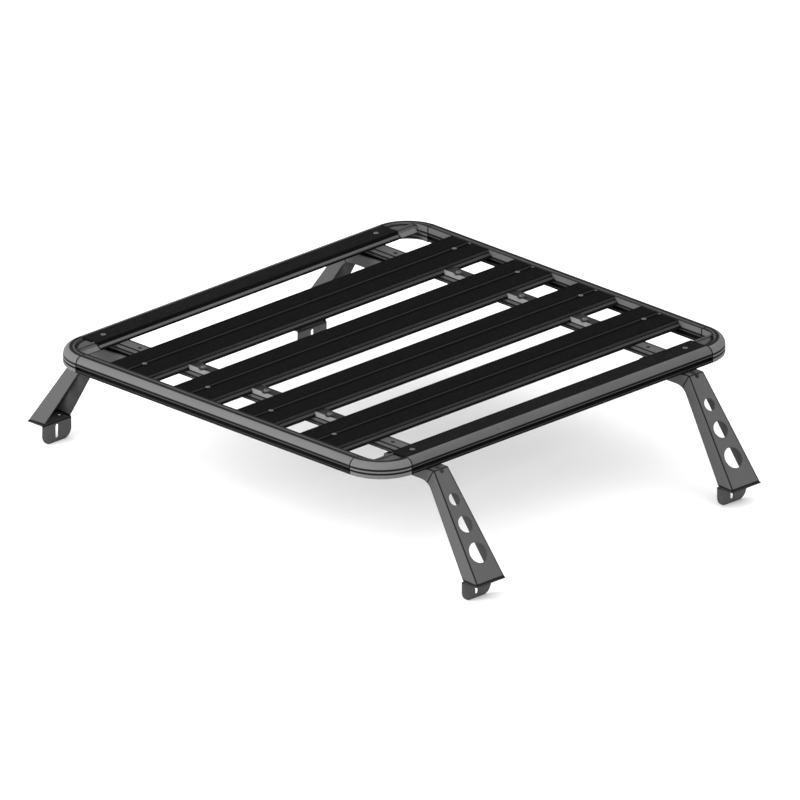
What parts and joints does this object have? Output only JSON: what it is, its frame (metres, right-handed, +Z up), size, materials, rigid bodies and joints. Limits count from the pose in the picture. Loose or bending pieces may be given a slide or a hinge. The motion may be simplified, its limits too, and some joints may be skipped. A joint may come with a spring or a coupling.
{
  "type": "roof rack",
  "caption": "Slatted roof rack tray with slotted beams, carried on cross rails by splayed, pierced sheet legs with bolt-down feet.",
  "frame": {"origin": "on the ground plane under the middle of the tray, level with the lower ends of the foot tabs", "axes": "+X along the deck planks, +Y across them and towards the back pair of legs, +Z up"},
  "size_m": [1.16, 1.436, 0.317],
  "materials": {
    "beam_coat": "satin",
    "plank_coat": "satin",
    "casting_coat": "satin",
    "rail_coat": "satin",
    "bracket_coat": "satin",
    "leg_coat": "satin"
  },
  "bodies": {
    "root": {"side_beam_left": "beam_coat", "side_beam_right": "beam_coat", "edge_beam_front": "beam_coat", "edge_beam_back": "beam_coat", "corner_casting_front_left": "casting_coat", "corner_casting_front_right": "casting_coat", "corner_casting_back_left": "casting_coat", "corner_casting_back_right": "casting_coat", "deck_plank_1": "plank_coat", "deck_plank_2": "plank_coat", "deck_plank_3": "plank_coat", "deck_plank_4": "plank_coat", "cross_rail_left": "rail_coat", "cross_rail_right": "rail_coat", "rail_bracket_left_1": "bracket_coat", "rail_bracket_left_2": "bracket_coat", "rail_bracket_left_3": "bracket_coat", "rail_bracket_right_1": "bracket_coat", "rail_bracket_right_2": "bracket_coat", "rail_bracket_right_3": "bracket_coat", "leg_front_left": "leg_coat", "leg_front_right": "leg_coat", "leg_back_left": "leg_coat", "leg_back_right": "leg_coat", "foot_front_left": "leg_coat", "foot_front_right": "leg_coat", "foot_back_left": "leg_coat", "foot_back_right": "leg_coat"}
  },
  "joints": []
}
